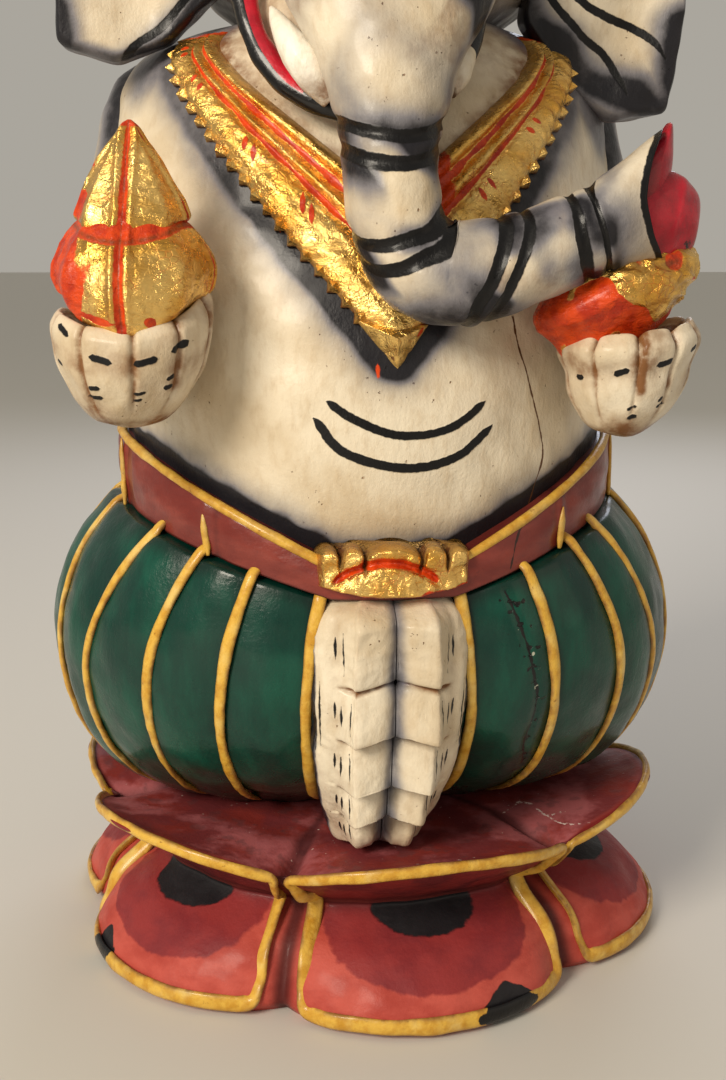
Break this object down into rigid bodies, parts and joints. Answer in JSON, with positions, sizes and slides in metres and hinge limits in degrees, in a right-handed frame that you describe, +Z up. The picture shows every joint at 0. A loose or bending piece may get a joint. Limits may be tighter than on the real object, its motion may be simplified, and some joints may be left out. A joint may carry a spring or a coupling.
{
  "type": "ganesha idol",
  "caption": "Carved and painted wooden elephant-headed deity seated on a lotus pedestal, holding a bud and a sweet, with a crown and gilt necklace.",
  "frame": {"origin": "on the supporting surface, at the middle of the lotus pedestal and below the statue's carving axis", "axes": "+Z up, -Y the way the figure faces, +X towards the figure's left hand"},
  "size_m": [0.2104, 0.2094, 0.4559],
  "materials": {
    "cream_paint": "varnished antique cream paint on carved wood",
    "lotus_paint": "varnished red paint on carved wood, worn on its edges",
    "yellow_paint": "varnished yellow ochre paint on a raised line",
    "green_paint": "glossy varnished deep green paint on carved wood",
    "maroon_paint": "varnished maroon paint on carved wood",
    "gold_leaf": "gold leaf over red size on carved wood, cracked and rubbed",
    "vermilion_paint": "varnished vermilion paint with gold leaf on carved wood",
    "red_paint": "glossy crimson paint on carved wood",
    "white_paint": "varnished off-white paint on carved wood"
  },
  "bodies": {
    "root": {"lotus_pedestal": "lotus_paint", "petal_edging": "yellow_paint", "trousers": "green_paint", "trouser_stripes": "yellow_paint", "right_foot": "cream_paint", "left_foot": "cream_paint", "sash": "maroon_paint", "sash_piping": "yellow_paint", "belt_clasp": "gold_leaf", "torso": "cream_paint", "right_arm": "cream_paint", "left_arm": "cream_paint", "right_hand": "cream_paint", "left_hand": "cream_paint", "bud_lower_leaves": "gold_leaf", "bud_upper_leaves": "gold_leaf", "offered_sweet": "vermilion_paint", "necklace_collar": "gold_leaf", "necklace_points": "gold_leaf", "necklace_pendant": "gold_leaf", "head": "cream_paint", "trunk": "cream_paint", "trunk_lining": "red_paint", "lower_jaw": "cream_paint", "lips": "red_paint", "right_tusk": "white_paint", "left_tusk": "white_paint", "right_ear": "cream_paint", "left_ear": "cream_paint", "right_eye": "white_paint", "left_eye": "white_paint", "crown_band": "gold_leaf", "crown_leaves": "gold_leaf", "crown_lower_tier": "vermilion_paint", "crown_upper_tier": "gold_leaf", "crown_finial": "gold_leaf"}
  },
  "joints": []
}
